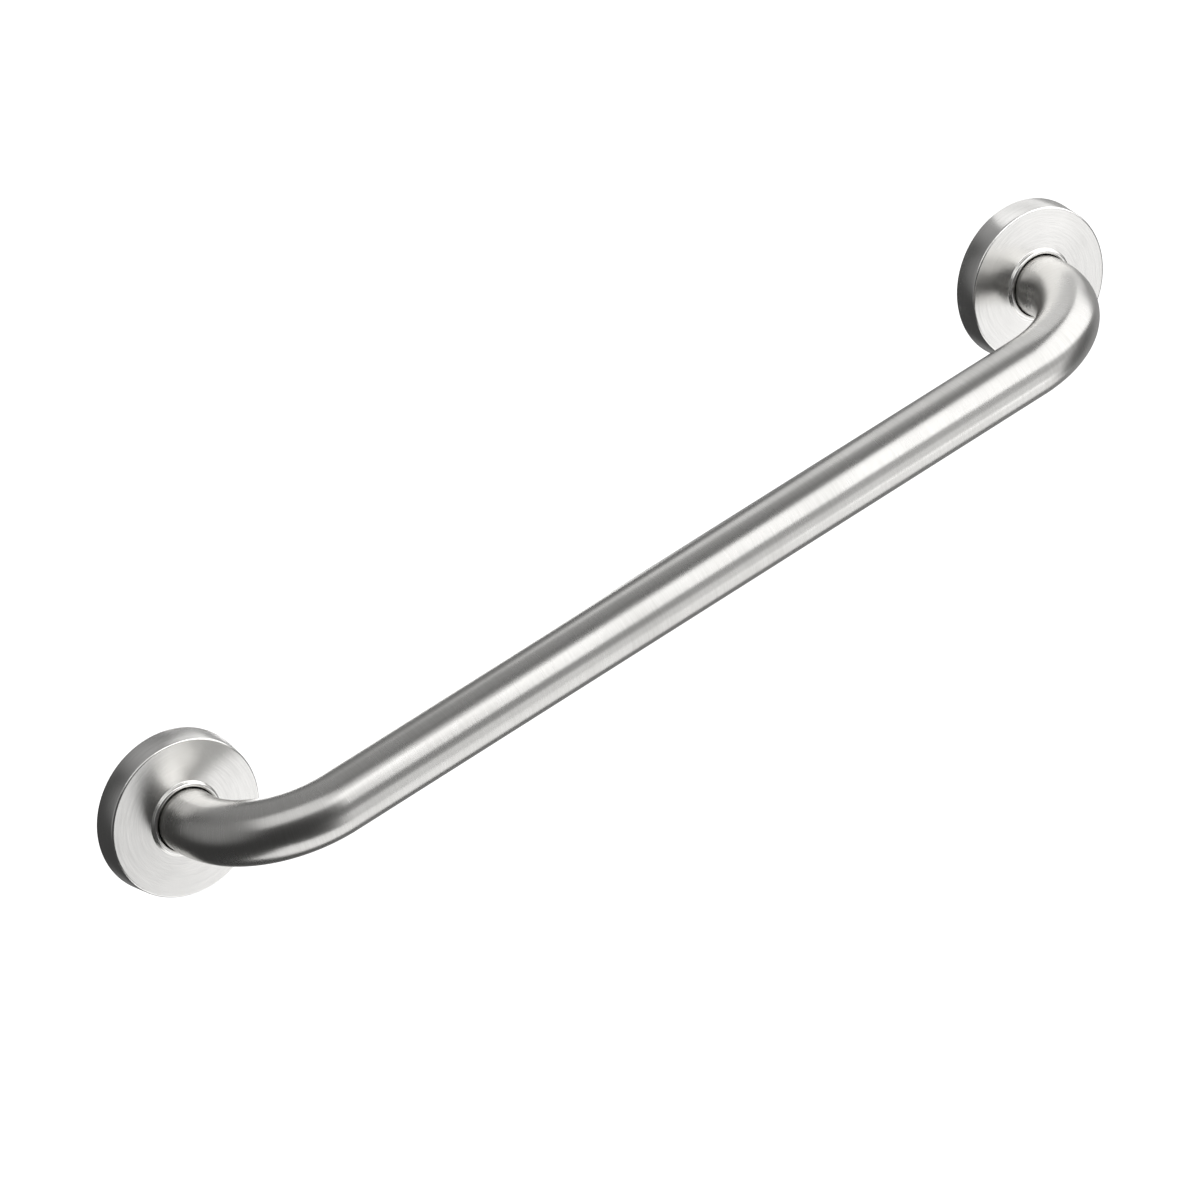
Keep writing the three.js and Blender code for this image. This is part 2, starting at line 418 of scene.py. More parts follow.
def smallSteel(name):
    made, tree, shader = material(name)
    finish = smallParts[name]
    place = addNode(tree, "ShaderNodeTexCoord").outputs["Object"]
    marks = addNode(
        tree,
        "ShaderNodeTexNoise",
        {"Scale": 1 / finish["marks"], "Detail": 4.0, "Roughness": 0.6},
        {"Vector": place},
    ).outputs[0]
    tint = addNode(
        tree,
        "ShaderNodeMix",
        {"data_type": "RGBA", 6: linear(finish["colour"]), 7: linear(finish["shade"])},
        {0: marks},
    ).outputs[2]
    tree.links.new(tint, shader.inputs["Base Color"])
    low, high = finish["roughness"] - finish["spread"] / 2, finish["roughness"] + finish["spread"]
    rough = addNode(
        tree,
        "ShaderNodeMapRange",
        {"From Min": 0.3, "From Max": 0.7, "To Min": low, "To Max": high},
        {"Value": marks},
    ).outputs[0]
    tree.links.new(rough, shader.inputs["Roughness"])
    bump = addNode(
        tree, "ShaderNodeBump", {"Strength": 0.5, "Distance": finish["depth"]}, {"Height": marks}
    ).outputs[0]
    tree.links.new(bump, shader.inputs["Normal"])
    shader.inputs["Metallic"].default_value = 1.0
    return made


# moulded parts: black EPDM rubber, graphite-filled nylon 6 and closed-cell polyethylene foam
mouldedParts = {
    "mouldedRubberEPDM": {
        "colour": "#1E1E1F", "bloom": "#343434", "roughness": 0.62, "grain": 0.35 * mm, "clouds": 9 * mm,
        "depth": 0.015 * mm, "ior": 1.52, "cells": False,
    },
    "mouldedNylonBush": {
        "colour": "#2B2C2E", "bloom": "#3B3C3E", "roughness": 0.48, "grain": 0.3 * mm, "clouds": 9 * mm,
        "depth": 0.01 * mm, "ior": 1.53, "cells": False,
    },
    "closedCellFoam": {
        "colour": "#A4A6A8", "bloom": "#939597", "roughness": 0.88, "grain": 0.55 * mm, "clouds": 9 * mm,
        "depth": 0.08 * mm, "ior": 1.45, "cells": True,
    },
}


def mouldedPlastic(name):
    made, tree, shader = material(name)
    finish = mouldedParts[name]
    place = addNode(tree, "ShaderNodeTexCoord").outputs["Object"]
    kind = "ShaderNodeTexVoronoi" if finish["cells"] else "ShaderNodeTexNoise"
    grain = addNode(tree, kind, {"Scale": 1 / finish["grain"]}, {"Vector": place}).outputs[0]
    cloud = addNode(
        tree, "ShaderNodeTexNoise", {"Scale": 1 / finish["clouds"], "Detail": 5.0}, {"Vector": place}
    ).outputs[0]
    tint = addNode(
        tree,
        "ShaderNodeMix",
        {"data_type": "RGBA", 6: linear(finish["colour"]), 7: linear(finish["bloom"])},
        {0: cloud},
    ).outputs[2]
    tree.links.new(tint, shader.inputs["Base Color"])
    rough = addNode(
        tree,
        "ShaderNodeMapRange",
        {"To Min": finish["roughness"] - 0.06, "To Max": finish["roughness"] + 0.08},
        {"Value": cloud},
    ).outputs[0]
    tree.links.new(rough, shader.inputs["Roughness"])
    bump = addNode(
        tree, "ShaderNodeBump", {"Strength": 0.6, "Distance": finish["depth"]}, {"Height": grain}
    ).outputs[0]
    tree.links.new(bump, shader.inputs["Normal"])
    shader.inputs["IOR"].default_value = finish["ior"]
    return made


steelTube, steelCover = satinTube(), satinCover()
steelPlate, weldMetal = rolledPlate(), weldSteel()
steelScrew, steelWasher = smallSteel("coldHeadedScrewA2"), smallSteel("tumbledWasherA4")
rubberBlack, nylonBlack = mouldedPlastic("mouldedRubberEPDM"), mouldedPlastic("mouldedNylonBush")
foamGrey = mouldedPlastic("closedCellFoam")
print("materials done")


# the tube is swept along its bent centreline
rail = {"bendRadius": 50 * mm, "wall": 1.2 * mm, "sides": 96, "bendSteps": 48}


def railTree():
    tree = bpy.data.node_groups.new("bentTube", "GeometryNodeTree")
    face = tree.interface
    face.new_socket("Geometry", in_out="OUTPUT", socket_type="NodeSocketGeometry")
    for name in ("Centres", "Axis height", "Leg end", "Bend radius", "Tube radius", "Wall"):
        face.new_socket(name, in_out="INPUT", socket_type="NodeSocketFloat")
    for name in ("Sides", "Bend steps"):
        face.new_socket(name, in_out="INPUT", socket_type="NodeSocketInt")
    face.new_socket("Material", in_out="INPUT", socket_type="NodeSocketMaterial")
    given = addNode(tree, "NodeGroupInput").outputs
    half, minusHalf, far, near = [
        addNode(tree, "ShaderNodeMath", {"operation": "MULTIPLY", 1: share}, {0: given[name]}).outputs[0]
        for name, share in (("Centres", 0.5), ("Centres", -0.5), ("Axis height", -1.0), ("Leg end", -1.0))
    ]
    corners = [
        addNode(tree, "ShaderNodeCombineXYZ", links={"X": x, "Y": y}).outputs[0]
        for x, y in ((minusHalf, near), (minusHalf, far), (half, far), (half, near))
    ]
    line = addNode(tree, "GeometryNodeCurvePrimitiveLine").outputs["Curve"]
    line = addNode(tree, "GeometryNodeResampleCurve", {"Count": 4}, {"Curve": line}).outputs[0]
    index = addNode(tree, "GeometryNodeInputIndex").outputs[0]
    pick = addNode(tree, "GeometryNodeIndexSwitch", {"data_type": "VECTOR"})
    pick.index_switch_items.new()
    pick.index_switch_items.new()
    tree.links.new(index, pick.inputs["Index"])
    for socket, corner in zip(list(pick.inputs)[1:5], corners):
        tree.links.new(corner, socket)
    line = addNode(
        tree, "GeometryNodeSetPosition", links={"Geometry": line, "Position": pick.outputs[0]}
    ).outputs[0]
    bent = addNode(
        tree,
        "GeometryNodeFilletCurve",
        {"mode": "POLY"},
        {"Curve": line, "Radius": given["Bend radius"], "Count": given["Bend steps"]},
    ).outputs[0]
    along = addNode(tree, "GeometryNodeSplineParameter").outputs["Length"]
    bent = addNode(
        tree,
        "GeometryNodeStoreNamedAttribute",
        {"data_type": "FLOAT", "domain": "POINT", "Name": "along"},
        {"Geometry": bent, "Value": along},
    ).outputs[0]
    ring = addNode(
        tree,
        "GeometryNodeCurvePrimitiveCircle",
        links={"Resolution": given["Sides"], "Radius": given["Tube radius"]},
    ).outputs["Curve"]
    place = addNode(tree, "GeometryNodeInputPosition").outputs[0]
    ring = addNode(
        tree,
        "GeometryNodeStoreNamedAttribute",
        {"data_type": "FLOAT_VECTOR", "domain": "POINT", "Name": "around"},
        {"Geometry": ring, "Value": place},
    ).outputs[0]
    skin = addNode(tree, "GeometryNodeCurveToMesh", links={"Curve": bent, "Profile Curve": ring}).outputs[0]
    # the wall: a copy of the skin is pushed inwards, joined to it by the two end rims
    inwards = addNode(
        tree, "ShaderNodeMath", {"operation": "MULTIPLY", 1: -1.0}, {0: given["Wall"]}
    ).outputs[0]
    bore = addNode(
        tree,
        "GeometryNodeExtrudeMesh",
        {"mode": "FACES", "Individual": False},
        {"Mesh": skin, "Offset Scale": inwards},
    ).outputs["Mesh"]
    both = addNode(tree, "GeometryNodeJoinGeometry").inputs[0]
    tree.links.new(skin, both)
    flipped = addNode(tree, "GeometryNodeFlipFaces", links={"Mesh": bore}).outputs[0]
    tree.links.new(flipped, both)
    joined = both.node.outputs[0]
    closed = addNode(
        tree, "GeometryNodeMergeByDistance", {"Distance": 0.01 * mm}, {"Geometry": joined}
    ).outputs[0]
    real = addNode(tree, "GeometryNodeRealizeInstances", links={"Geometry": closed}).outputs[0]
    done = addNode(
        tree, "GeometryNodeSetMaterial", links={"Geometry": real, "Material": given["Material"]}
    ).outputs[0]
    tree.links.new(done, addNode(tree, "NodeGroupOutput").inputs["Geometry"])
    return tree


def grown(name, tree, **values):
    # runs a node tree with these inputs and returns its result as a plain mesh
    holder = bpy.data.objects.new(name + "Holder", bpy.data.meshes.new(name + "Holder"))
    bpy.context.scene.collection.objects.link(holder)
    modifier = holder.modifiers.new("grow", "NODES")
    modifier.node_group = tree
    for item in tree.interface.items_tree:
        if item.item_type == "SOCKET" and item.in_out == "INPUT" and item.name in values:
            modifier[item.identifier] = values[item.name]
    result = evaluated(holder, name)
    bpy.data.objects.remove(holder)
    return result


tubeLow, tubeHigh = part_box("rail_tube")
tubeRadius = (tubeHigh.z - tubeLow.z) / 2
axisHeight = -tubeLow.y - tubeRadius
railObj = grown(
    "railTube",
    railTree(),
    **{
        "Centres": legX("right") - legX("left"),
        "Axis height": axisHeight,
        "Leg end": -tubeHigh.y,
        "Bend radius": rail["bendRadius"],
        "Tube radius": tubeRadius,
        "Wall": rail["wall"],
        "Sides": rail["sides"],
        "Bend steps": rail["bendSteps"],
        "Material": steelTube,
    },
)
railObj.data.shade_smooth()
railObj.data.set_sharp_from_angle(angle=math.radians(40))
alongTube = [item.value for item in railObj.data.attributes["along"].data]
aroundTube = [math.atan2(item.vector.y, item.vector.x) for item in railObj.data.attributes["around"].data]
mapGrain(railObj, alongTube, aroundTube)
settle(railObj, "rail", "rail_tube", steelTube, "rail_tube")
print("rail:", len(railObj.data.polygons), "faces")


# each cover is one sheet turned about its leg: skirt, face, collar and the edge rolled in to the tube
cover = {
    "sheet": 0.9 * mm, "depth": 12.5 * mm, "frontRadius": 38.25 * mm, "edgeRound": 1.1 * mm,
    "collarRadius": 17.75 * mm, "rootRound": 0.6 * mm, "rim": 1.15 * mm, "hem": 0.25 * mm,
    "tuck": 0.35 * mm, "innerRound": 0.5 * mm, "steps": 160,
}


def coverOutline(side):
    back, front = standOff(f"{side}_cover")
    backRadius = outerRadius(f"{side}_cover")
    sheet, depth, r = cover["sheet"], cover["depth"], cover["edgeRound"]
    frontRadius, collar, root = cover["frontRadius"], cover["collarRadius"], cover["rootRound"]
    rim, hem, inner = cover["rim"], cover["hem"], depth - sheet
    mouth = collar - sheet
    return (
        arc(backRadius - hem, back + hem, hem, -90, 0, 4)
        + arc(frontRadius - r, depth - r, r, 5, 90, 10)
        + arc(collar + root, depth + root, root, 270, 180, 8)
        + arc(collar - rim, front - rim, rim, 0, 265, 22)
        + [(mouth, depth - cover["tuck"]), (mouth + sheet, inner)]
        + arc(frontRadius - r, depth - r, cover["innerRound"], 90, 5, 6)
        + [(backRadius - sheet, back)]
    )


for side in sides:
    obj = turned(f"{side}Cover", coverOutline(side), side, cover["steps"])
    storeFromAxis(obj, side)
    mapTurnedGrain(obj, side)
    settle(obj, f"{side}_cover_shell", "cover_steel", steelCover, f"{side}_cover")
print("covers done")


# the nylon bush centres the cover, and stands just behind the rolled edge
bush = {
    "bore": 15.5 * mm, "body": 16.55 * mm, "lip": 2.4 * mm, "chamfer": 0.25 * mm, "ribs": 24,
    "ribDepth": 0.16 * mm, "steps": 192,
}


def bushOutline(side):
    back, front = standOff(f"{side}_bush")
    edge, bore, body = bush["chamfer"], bush["bore"], bush["body"]
    lipRadius, lipFront = outerRadius(f"{side}_bush"), back + bush["lip"]
    return [
        (bore, back + edge), (bore + edge, back), (lipRadius - edge, back), (lipRadius, back + edge),
        (lipRadius, lipFront - edge), (lipRadius - edge, lipFront), (body + edge, lipFront),
        (body, lipFront + edge), (body, front - edge), (body - edge, front), (bore + edge, front),
        (bore, front - edge),
    ]


def ribBush(obj, side):
    # shallow grip ribs moulded along the bore
    x = legX(side)
    for vertex in obj.data.vertices:
        across, up = vertex.co.x - x, vertex.co.z
        radius = math.hypot(across, up)
        if radius < bush["bore"] + 0.05 * mm:
            wave = 0.5 + 0.5 * math.cos(bush["ribs"] * math.atan2(up, across))
            scale = (radius + bush["ribDepth"] * wave) / radius
            vertex.co.x, vertex.co.z = x + across * scale, up * scale


for side in sides:
    obj = turned(f"{side}Bush", bushOutline(side), side, bush["steps"])
    ribBush(obj, side)
    settle(obj, f"{side}_bush_slider", "bush_nylon", nylonBlack, f"{side}_bush")


# the rubber cord in the flange's rim that holds the cover on
retainingRing = {"sides": 20, "flash": 0.05 * mm, "steps": 160}


def retainingOutline(side):
    back, front = standOff(f"{side}_retaining_ring")
    cord = outerRadius(f"{side}_retaining_ring")
    thick = (front - back) / 2 / math.cos(math.radians(30))  # the CAD ring has six sides
    middle, centre = (back + front) / 2, cord - thick
    points = arc(centre, middle, thick, 0, 360, retainingRing["sides"])[:-1]
    points[0] = (points[0][0] + retainingRing["flash"], points[0][1])  # the mould's parting line
    return points


for side in sides:
    obj = turned(f"{side}RetainingRing", retainingOutline(side), side, retainingRing["steps"])
    settle(obj, "rail", "retaining_rubber", rubberBlack, f"{side}_retaining_ring")
print("bushes and rubber rings done")


# flanges and gaskets are turned, then drilled for the screws
bolts = {"count": 3, "circle": 27.5 * mm, "firstAngle": 60, "hole": 2.9 * mm}
flange = {"bore": 15.3 * mm, "corner": 0.4 * mm, "groove": 1.3 * mm, "countersink": 0.35 * mm, "steps": 160}
gasket = {"bore": 11 * mm, "edge": 0.15 * mm, "steps": 128}


def boltPlaces(side):
    for i in range(bolts["count"]):
        angle = math.radians(bolts["firstAngle"] + 360 * i / bolts["count"])
        yield legX(side) + bolts["circle"] * math.cos(angle), bolts["circle"] * math.sin(angle)


def drill(obj, side, back, front, chamfer, steps=40):
    # each drill is a turned cutter that opens out at both faces, so it leaves a small chamfer
    over, radius = 1 * mm, bolts["hole"]  # the cutters stand out past both faces
    rings = [
        (radius + chamfer + over, back - over), (radius, back + chamfer),
        (radius, front - chamfer), (radius + chamfer + over, front + over),
    ]
    verts, faces = [], []
    for x, z in boltPlaces(side):
        start = len(verts)
        for r, h in rings:
            for i in range(steps):
                a = 2 * math.pi * i / steps
                verts.append((x + r * math.cos(a), -h, z + r * math.sin(a)))
        for k in range(len(rings) - 1):
            for i in range(steps):
                a, b = start + k * steps + i, start + k * steps + (i + 1) % steps
                faces.append((a, a + steps, b + steps, b))
        faces.append(tuple(start + i for i in range(steps)))
        faces.append(tuple(start + 3 * steps + i for i in reversed(range(steps))))
    tool = meshObject(obj.name + "Drills", verts, faces)
    cut = obj.modifiers.new("drill", "BOOLEAN")
    cut.operation, cut.solver, cut.object = "DIFFERENCE", "EXACT", tool
    name = obj.name
    obj.name = name + "Blank"
    result = evaluated(obj, name)
    for spent in (obj, tool):
        bpy.data.objects.remove(spent)
    result.data.set_sharp_from_angle(angle=math.radians(30))
    return result


def flangeOutline(side):
    back, front = standOff(f"{side}_wall_flange")
    radius, corner = outerRadius(f"{side}_wall_flange"), flange["corner"]
    middle = (back + front) / 2
    seat = sum(retainingOutline(side)[k][0] for k in (0, retainingRing["sides"] // 2)) / 2
    half = math.degrees(math.acos((radius - seat) / flange["groove"]))
    return (
        [(flange["bore"], back)]
        + arc(radius - corner, back + corner, corner, -90, 0, 4)
        + arc(seat, middle, flange["groove"], 360 - half, half, 16)
        + arc(radius - corner, front - corner, corner, 0, 90, 4)
        + [(flange["bore"], front)]
    )


def gasketOutline(side):
    back, front = standOff(f"{side}_gasket")
    radius, edge, bore = outerRadius(f"{side}_gasket"), gasket["edge"], gasket["bore"]
    return [
        (bore + edge, back), (radius - edge, back), (radius, back + edge), (radius, front - edge),
        (radius - edge, front), (bore + edge, front), (bore, front - edge), (bore, back + edge),
    ]


for side in sides:
    plate = turned(f"{side}WallFlange", flangeOutline(side), side, flange["steps"])
    plate = drill(plate, side, *standOff(f"{side}_wall_flange"), flange["countersink"])
    storeFromAxis(plate, side)
    settle(plate, "rail", "flange_plate", steelPlate, f"{side}_wall_flange")
    pad = turned(f"{side}Gasket", gasketOutline(side), side, gasket["steps"])
    pad = drill(pad, side, *standOff(f"{side}_gasket"), gasket["edge"])
    settle(pad, "rail", "gasket_foam", foamGrey, f"{side}_gasket")
print("flanges and gaskets done")


# the weld is a fillet of overlapping ripples
weld = {
    "bore": 15.3 * mm, "ripples": 54, "height": 0.16 * mm, "sag": 0.35 * mm, "lag": 0.55, "wobble": 0.12,
    "across": 12, "steps": 540, "seeds": {"left": 11, "right": 12},
}


def weldBead(side):
    back, front = standOff(f"{side}_weld_bead")
    bore, leg = weld["bore"], front - back
    random.seed(weld["seeds"][side])
    wobble = [random.uniform(-1, 1) for _ in range(weld["ripples"])]
    verts, faces = [], []
    across, steps = weld["across"], weld["steps"]
    count = across + 2  # the face of the bead and its hidden root corner
    for i in range(steps):
        turn = i / steps
        angle = 2 * math.pi * turn
        for j in range(across + 1):
            t = j / across
            bulge = math.sin(math.pi * t)
            lag = weld["lag"] * bulge  # each ripple is a crescent, furthest on in the middle
            phase = turn * weld["ripples"] - lag
            tooth = 1 - (phase % 1) ** 2
            size = 1 + weld["wobble"] * wobble[int(phase) % weld["ripples"]]
            lift = bulge * (weld["height"] * tooth * size - weld["sag"] * 0.5)
            radius = bore + leg * (1 - t) + lift * math.sqrt(0.5)
            height = back + leg * t + lift * math.sqrt(0.5)
            verts.append((radius * math.cos(angle), -height, radius * math.sin(angle)))
        verts.append((bore * math.cos(angle), -back, bore * math.sin(angle)))
    for i in range(steps):
        for j in range(count):
            a, b = i * count + j, i * count + (j + 1) % count
            c, d = ((i + 1) % steps) * count + (j + 1) % count, ((i + 1) % steps) * count + j
            faces.append((a, b, c, d))
    obj = meshObject(f"{side}WeldBead", verts, faces, 60)
    obj.data.transform(Matrix.Translation((legX(side), 0, 0)))
    return obj


for side in sides:
    bead = weldBead(side)
    storeFromAxis(bead, side)
    settle(bead, "rail", "weld_bead", weldMetal, f"{side}_weld_bead")
print("weld beads done")


# one screw and one washer are made, and a node tree sets them round both bolt circles
screw = {
    "head": 4.6 * mm, "headHeight": 3.0 * mm, "core": 1.75 * mm, "thread": 2.4 * mm, "pitch": 1.7 * mm,
    "plain": 3.2 * mm, "tip": 5.0 * mm, "recess": 1.7 * mm, "slot": 0.95 * mm, "slotReach": 2.5 * mm,
    "steps": 32, "rowsPerTurn": 12, "twistSeed": 4,
}
washer = {"bore": 2.6 * mm, "edge": 0.12 * mm, "steps": 48, "twistSeed": 7}


def screwBlank(length):
    # built about its own axis with the underside of the head at zero and the tip at -length
    steps, rows = screw["steps"], int(length / screw["pitch"] * screw["rowsPerTurn"])
    rings = []
    for k in range(1, rows + 1):
        depth = length * (1 - k / rows)
        taper = min(1.0, (length - depth) / screw["tip"])
        threaded = min(1.0, max(0.0, (depth - screw["plain"]) / screw["pitch"]))
        ring = []
        for i in range(steps):
            saw = abs(2 * (((depth / screw["pitch"]) + i / steps) % 1) - 1)
            crest = max(0.0, 1 - 2.2 * (1 - saw))
            rim = screw["thread"] - screw["core"]
            radius = screw["core"] * (0.12 + 0.88 * taper) + rim * crest * threaded * min(1.0, taper * 1.6)
            angle = 2 * math.pi * i / steps
            ring.append((radius * math.cos(angle), depth, radius * math.sin(angle)))
        rings.append(ring)
    head, tall = screw["head"], screw["headHeight"]
    outline = [(head - 0.15 * mm, 0.0)] + arc(head - 0.2 * mm, 0.2 * mm, 0.2 * mm, -60, 0, 2)
    outline += [(head, tall * 0.35)]
    outline += [
        (head * math.cos(math.radians(a)) ** 0.55, tall * (0.35 + 0.65 * math.sin(math.radians(a))))
        for a in range(12, 84, 8)
    ]
    turns = [2 * math.pi * i / steps for i in range(steps)]
    for radius, height in outline:
        rings.append([(radius * math.cos(a), -height, radius * math.sin(a)) for a in turns])
    verts = [(0.0, length, 0.0)] + [v for ring in rings for v in ring] + [(0.0, -tall, 0.0)]
    faces = [(0, 1 + i, 1 + (i + 1) % steps) for i in range(steps)]
    for k in range(len(rings) - 1):
        for i in range(steps):
            a, b = 1 + k * steps + i, 1 + k * steps + (i + 1) % steps
            faces.append((a, a + steps, b + steps, b))
    last, top = 1 + (len(rings) - 1) * steps, len(verts) - 1
    faces += [(last + (i + 1) % steps, last + i, top) for i in range(steps)]
    return verts, faces


def recessCutter():
    # a cross with tapered arms that narrow towards the bottom
    top, bottom = -screw["headHeight"] - 0.3 * mm, -screw["headHeight"] + screw["recess"]
    w, reach = screw["slot"] / 2, screw["slotReach"]

    def cross(width, length, height):
        corners = []
        for quarter in range(4):
            turn = Matrix.Rotation(-math.pi / 2 * quarter, 3, "Y")
            for x, z in ((width, -width), (length, -width), (length, width)):
                corners.append(tuple(turn @ Vector((x, height, z))))
        return corners

    verts = cross(w * 1.25, reach, top) + cross(w * 0.7, reach * 0.45, bottom)
    n = 12
    faces = [(i, (i + 1) % n, n + (i + 1) % n, n + i) for i in range(n)]
    faces += [tuple(reversed(range(n))), tuple(range(n, 2 * n))]
    return verts, faces


def fixNormals(obj):
    work = bmesh.new()
    work.from_mesh(obj.data)
    bmesh.ops.recalc_face_normals(work, faces=work.faces)
    work.to_mesh(obj.data)
    work.free()


def screwMaster(length):
    blank = meshObject("screwBlank", *screwBlank(length))
    tool = meshObject("recessCutter", *recessCutter())
    for obj in (blank, tool):
        fixNormals(obj)
    cut = blank.modifiers.new("recess", "BOOLEAN")
    cut.operation, cut.solver, cut.object = "DIFFERENCE", "EXACT", tool
    master = evaluated(blank, "screwMaster")
    for spent in (blank, tool):
        bpy.data.objects.remove(spent)
    master.data.set_sharp_from_angle(angle=math.radians(35))
    return master


def washerMaster(thick):
    e, bore, rim = washer["edge"], washer["bore"], outerRadius("left_washer_1")
    outline = [
        (bore, e), (bore + e, 0.0), (rim - e, 0.0), (rim, e),
        (rim, thick - e), (rim - e, thick), (bore + e, thick), (bore, thick - e),
    ]
    return meshObject("washerMaster", *turnedMesh(outline, washer["steps"]))


def boltCircleTree():
    tree = bpy.data.node_groups.new("boltCircles", "GeometryNodeTree")
    face = tree.interface
    face.new_socket("Geometry", in_out="OUTPUT", socket_type="NodeSocketGeometry")
    face.new_socket("Fixing", in_out="INPUT", socket_type="NodeSocketObject")
    for name in ("Centres", "Circle radius", "First angle", "Stand-off"):
        face.new_socket(name, in_out="INPUT", socket_type="NodeSocketFloat")
    for name in ("Count", "Seed"):
        face.new_socket(name, in_out="INPUT", socket_type="NodeSocketInt")
    face.new_socket("Material", in_out="INPUT", socket_type="NodeSocketMaterial")
    given = addNode(tree, "NodeGroupInput").outputs
    circle = addNode(
        tree, "GeometryNodeMeshCircle", links={"Vertices": given["Count"], "Radius": given["Circle radius"]}
    ).outputs[0]
    stood = addNode(
        tree, "ShaderNodeMath", {"operation": "MULTIPLY", 1: -1.0}, {0: given["Stand-off"]}
    ).outputs[0]
    minus = addNode(
        tree, "ShaderNodeMath", {"operation": "MULTIPLY", 1: -1.0}, {0: given["First angle"]}
    ).outputs[0]
    spin = addNode(tree, "ShaderNodeCombineXYZ", {"X": math.pi / 2}, {"Y": minus}).outputs[0]
    placed = addNode(tree, "GeometryNodeJoinGeometry").inputs[0]
    for share in (-0.5, 0.5):
        x = addNode(
            tree, "ShaderNodeMath", {"operation": "MULTIPLY", 1: share}, {0: given["Centres"]}
        ).outputs[0]
        place = addNode(tree, "ShaderNodeCombineXYZ", links={"X": x, "Y": stood}).outputs[0]
        moved = addNode(
            tree,
            "GeometryNodeTransform",
            links={"Geometry": circle, "Translation": place, "Rotation": spin},
        ).outputs[0]
        tree.links.new(moved, placed)
    points = placed.node.outputs[0]
    index = addNode(tree, "GeometryNodeInputIndex").outputs[0]
    drawn = addNode(
        tree,
        "FunctionNodeRandomValue",
        {"data_type": "FLOAT", 3: math.pi},
        {"ID": index, "Seed": given["Seed"]},
    ).outputs[1]
    twist = addNode(tree, "ShaderNodeCombineXYZ", links={"Y": drawn}).outputs[0]
    fixing = addNode(tree, "GeometryNodeObjectInfo", links={"Object": given["Fixing"]}).outputs["Geometry"]
    copies = addNode(
        tree,
        "GeometryNodeInstanceOnPoints",
        links={"Points": points, "Instance": fixing, "Rotation": twist},
    ).outputs[0]
    real = addNode(tree, "GeometryNodeRealizeInstances", links={"Geometry": copies}).outputs[0]
    done = addNode(
        tree, "GeometryNodeSetMaterial", links={"Geometry": real, "Material": given["Material"]}
    ).outputs[0]
    tree.links.new(done, addNode(tree, "NodeGroupOutput").inputs["Geometry"])
    return tree


def setRoundBolts(name, master, standing, seed, material):
    obj = grown(
        name,
        boltCircles,
        **{
            "Fixing": master,
            "Centres": legX("right") - legX("left"),
            "Circle radius": bolts["circle"],
            "First angle": math.radians(bolts["firstAngle"]),
            "Stand-off": standing,
            "Count": bolts["count"],
            "Seed": seed,
            "Material": material,
        },
    )
    bpy.data.objects.remove(master)
    return obj


boltCircles = boltCircleTree()
screwLow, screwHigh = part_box("left_screw_1")
screwLength = screwHigh.y - screwLow.y - screw["headHeight"]
screwSeat = -screwLow.y - screw["headHeight"]
screwObj = setRoundBolts("screws", screwMaster(screwLength), screwSeat, screw["twistSeed"], steelScrew)
screwNodes = [f"{side}_screw_{i + 1}" for side in sides for i in range(bolts["count"])]
settle(screwObj, "rail", "screw_steel", steelScrew, *screwNodes)
washerBack, washerFront = standOff("left_washer_1")
ringMaster = washerMaster(washerFront - washerBack)
washerObj = setRoundBolts("washers", ringMaster, washerBack, washer["twistSeed"], steelWasher)
washerNodes = [f"{side}_washer_{i + 1}" for side in sides for i in range(bolts["count"])]
settle(washerObj, "rail", "washer_steel", steelWasher, *washerNodes)
print("screws and washers:", len(screwObj.data.polygons), "and", len(washerObj.data.polygons), "faces")


camera = {
    "aim": (-18.4 * mm, -6.4 * mm, -22.8 * mm), "distance": 3.255, "azimuth": -23.98, "elevation": 30.23,
    "roll": 19.53, "lens": 209.6,
}


def makeCamera():
    data = bpy.data.cameras.new("threeQuarterCamera")
    data.lens = camera["lens"]
    data.sensor_width = 36.0
    data.clip_start, data.clip_end = 0.05, 100.0
    obj = bpy.data.objects.new("threeQuarterCamera", data)
    bpy.context.scene.collection.objects.link(obj)
    a, e = math.radians(camera["azimuth"]), math.radians(camera["elevation"])
    back = Vector((math.sin(a) * math.cos(e), -math.cos(a) * math.cos(e), math.sin(e)))
    turn = (-back).to_track_quat("-Z", "Y").to_matrix().to_4x4()
    roll = Matrix.Rotation(math.radians(-camera["roll"]), 4, "Z")
    obj.matrix_world = Matrix.Translation(Vector(camera["aim"]) + back * camera["distance"]) @ turn @ roll
    bpy.context.scene.camera = obj


makeCamera()

# soft lights: azimuth from the front, elevation, distance, width, height, lean, and how bright the face is
studio = {
    "softboxRight": (60, 25, 1.3, 2.7, 1.22, -18, 1.65),
    "softboxTop": (-30, 56, 1.2, 1.3, 0.78, 0, 0.95),
    "bounceCardLow": (-2, -67, 1.0, 1.75, 0.8, 0, 1.2),
    "fillCardFront": (26, -30, 1.1, 1.1, 0.55, 0, 0.7),
    "fillCardRight": (44, -7, 1.1, 0.95, 0.4, 0, 0.27),
    "rimLight": (129, 27, 1.3, 0.95, 1.4, 0, 0.7),
    "backCard": (172, -8, 1.2, 0.5, 0.8, 0, 2.0),
}
# faint light that comes from the room: azimuth, elevation, half-width, brightness
room = {
    "base": 0.05, "behindAbove": (155, 66, 45, 0.3), "behind": (170, 20, 35, 0.13),
    "behindLow": (137, -28, 50, 0.3), "rightLow": (90, -30, 45, 0.08), "frontLow": (30, -12, 38, 0.3),
    "leftHigh": (-100, 32, 45, 0.25),
}
floor = {"drop": 1.3, "halfSize": 6.0, "colour": "#F4F4F2", "glow": 1.0}


